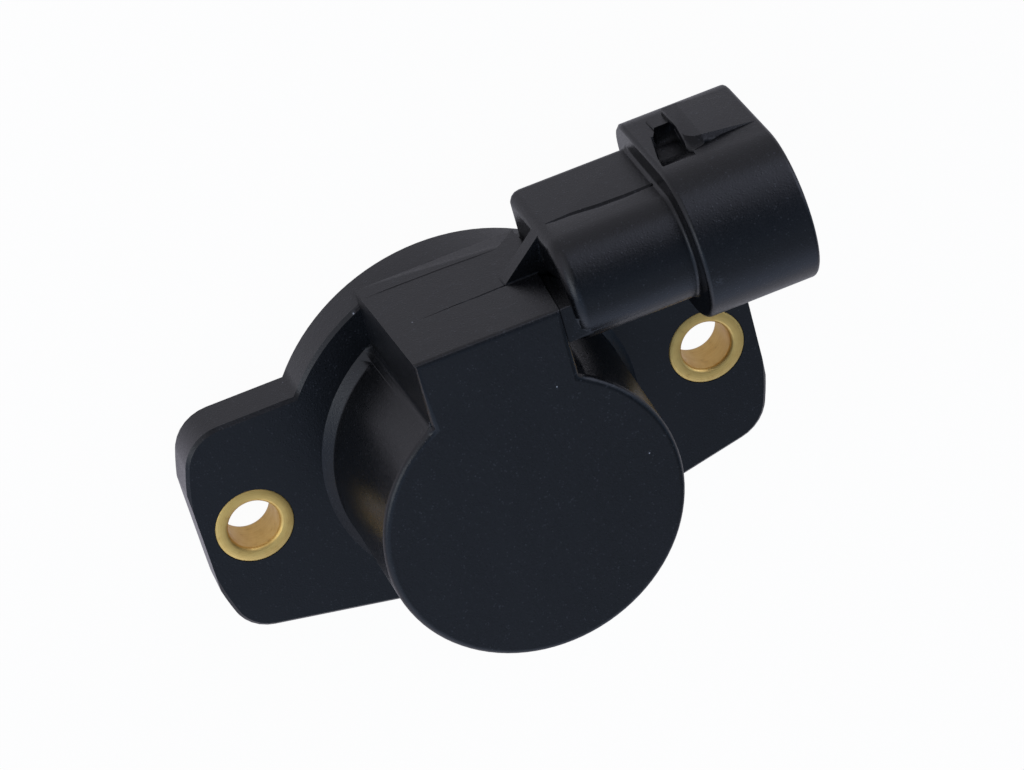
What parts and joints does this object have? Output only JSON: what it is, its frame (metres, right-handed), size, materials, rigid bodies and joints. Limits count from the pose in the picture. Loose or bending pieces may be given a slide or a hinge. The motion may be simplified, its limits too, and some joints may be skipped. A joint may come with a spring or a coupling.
{
  "type": "throttle position sensor",
  "caption": "Moulded throttle position sensor: a flat eared flange with brass bushes, a drum over a sprung rotor, and a shrouded connector on a side neck",
  "frame": {"origin": "centre of the line between the two mounting holes, on the rotor axis, in the plane of the mounting face", "axes": "+Z along the rotor axis from the mounting face to the closed end of the drum; +X along the line of the mounting holes towards the connector mouth; +Y from the rotor axis towards the neck"},
  "size_m": [0.0641, 0.0463, 0.0255],
  "materials": {
    "housing": "glass-filled moulding",
    "left_bush": "turned, edges broken",
    "right_bush": "turned, edges broken",
    "rear_cover": "moulded",
    "flange_seal": "moulded ring",
    "shaft_seal": "moulded ring",
    "pivot_pin": "ground",
    "track_card": "bare laminate",
    "resistor_track": "printed carbon film",
    "collector_track": "printed silver film",
    "supply_terminal": "tinned strip",
    "signal_terminal": "tinned strip",
    "ground_terminal": "tinned strip",
    "supply_rivet": "plated",
    "signal_rivet": "plated",
    "ground_rivet": "plated",
    "wave_washer": "spring strip",
    "return_spring": "drawn wire",
    "rotor": "moulded, natural",
    "drive_clip": "spring strip",
    "wiper_brush": "stamped spring alloy"
  },
  "bodies": {
    "housing": {"housing": "housing", "left_bush": "left_bush", "right_bush": "right_bush", "rear_cover": "rear_cover", "flange_seal": "flange_seal", "shaft_seal": "shaft_seal", "pivot_pin": "pivot_pin", "track_card": "track_card", "resistor_track": "resistor_track", "collector_track": "collector_track", "supply_terminal": "supply_terminal", "signal_terminal": "signal_terminal", "ground_terminal": "ground_terminal", "supply_rivet": "supply_rivet", "signal_rivet": "signal_rivet", "ground_rivet": "ground_rivet", "wave_washer": "wave_washer", "return_spring": "return_spring"},
    "rotor": {"rotor": "rotor", "drive_clip": "drive_clip", "wiper_brush": "wiper_brush"}
  },
  "joints": [
    {"name": "rotor_turn", "type": "hinge", "parent": "housing", "child": "rotor", "pos_m": [0, 0, 0.01], "axis": [0, 0, 1], "range_deg": [0, 100], "stiffness_Nm_per_rad": 0.006, "springref_deg": -34.38, "deforming": ["return_spring"]}
  ]
}
